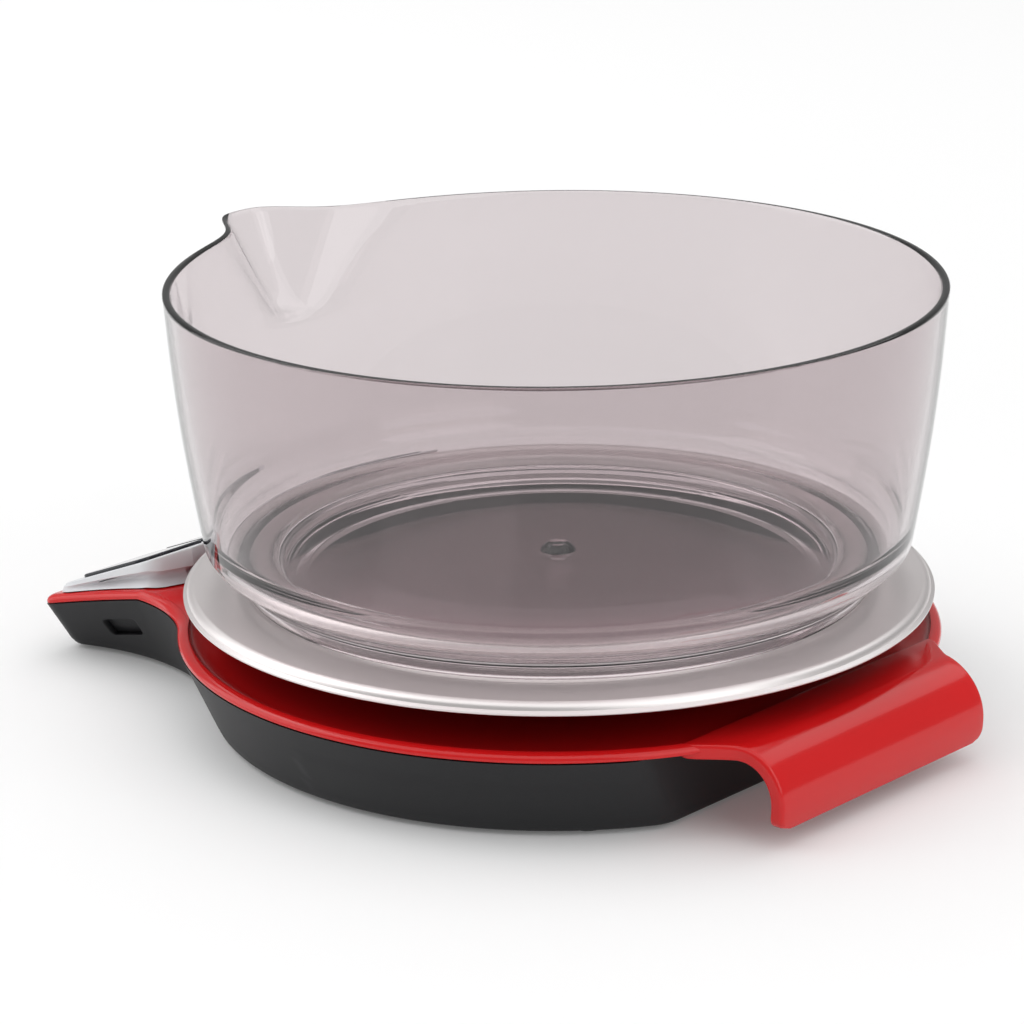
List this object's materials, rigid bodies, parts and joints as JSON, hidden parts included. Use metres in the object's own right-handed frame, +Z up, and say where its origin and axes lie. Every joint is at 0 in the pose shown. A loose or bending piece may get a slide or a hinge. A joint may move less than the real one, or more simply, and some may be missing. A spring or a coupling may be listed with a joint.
{
  "type": "kitchen scale with bowl",
  "caption": "Digital kitchen scale: round steel platform on a load cell, tilted console with a display and keys, curled carrying handle, clear pouring bowl.",
  "frame": {"origin": "on the table, under the middle of the scale's overall length and width", "axes": "+Z up; -Y towards the user, where the console is; +Y towards the handle; +X towards the side with the charging socket"},
  "size_m": [0.1938, 0.234, 0.1119],
  "materials": {
    "red_gloss_plastic": "gloss, moulded in red",
    "black_matte_plastic": "fine matte texture",
    "grey_satin_plastic": "silver-grey satin paint",
    "dark_gloss_plastic": "high gloss, almost black",
    "brushed_steel": "finely brushed",
    "smoke_clear_plastic": "clear plastic with a smoke tint",
    "white_plastic": "moulded, satin",
    "rubber": "matte",
    "aluminium": "milled",
    "zinc_steel": "zinc plated, satin",
    "circuit_board": "green solder mask",
    "lcd_glass": "smooth",
    "battery_foil": "satin foil",
    "wire_jacket": "satin sleeve"
  },
  "bodies": {
    "housing": {"base_pan": "black_matte_plastic", "top_shell": "red_gloss_plastic", "foot_rear_right": "rubber", "foot_rear_left": "rubber", "foot_console_right": "rubber", "foot_console_left": "rubber", "housing_screw_1": "zinc_steel", "housing_screw_2": "zinc_steel", "housing_screw_3": "zinc_steel", "housing_screw_4": "zinc_steel", "load_cell": "aluminium", "cell_base_shim": "zinc_steel", "cell_base_screw_1": "zinc_steel", "cell_base_screw_2": "zinc_steel", "overload_stop_screw": "zinc_steel", "console_bezel": "grey_satin_plastic", "display_lens": "dark_gloss_plastic", "lcd_module": "lcd_glass", "lcd_frame": "white_plastic", "contact_strip": "rubber", "main_board": "circuit_board", "board_screw_right": "zinc_steel", "board_screw_left": "zinc_steel", "tact_switch_right": "white_plastic", "tact_switch_left": "white_plastic", "charging_socket": "zinc_steel", "socket_tongue": "dark_gloss_plastic", "charge_board": "circuit_board", "battery_cell": "battery_foil", "battery_pad": "rubber", "load_cell_lead": "wire_jacket", "battery_lead": "wire_jacket", "charge_lead": "wire_jacket"},
    "platform": {"platform_plate": "brushed_steel", "platform_carrier": "black_matte_plastic", "cell_platform_shim": "zinc_steel", "cell_platform_screw_1": "zinc_steel", "cell_platform_screw_2": "zinc_steel"},
    "bowl": {"bowl": "smoke_clear_plastic"},
    "key_right": {"key_right": "dark_gloss_plastic"},
    "key_left": {"key_left": "dark_gloss_plastic"}
  },
  "joints": [
    {"name": "platform_press", "type": "slide", "parent": "housing", "child": "platform", "axis": [0, 0, -1], "range_m": [0, 0.00025], "stiffness_N_per_m": 120000},
    {"name": "bowl_lift", "type": "slide", "parent": "platform", "child": "bowl", "axis": [0, 0, 1], "range_m": [0, 0.12]},
    {"name": "key_right_press", "type": "slide", "parent": "housing", "child": "key_right", "axis": [0, 0.3746, -0.9272], "range_m": [0, 0.0006], "stiffness_N_per_m": 5000},
    {"name": "key_left_press", "type": "slide", "parent": "housing", "child": "key_left", "axis": [0, 0.3746, -0.9272], "range_m": [0, 0.0006], "stiffness_N_per_m": 5000}
  ]
}
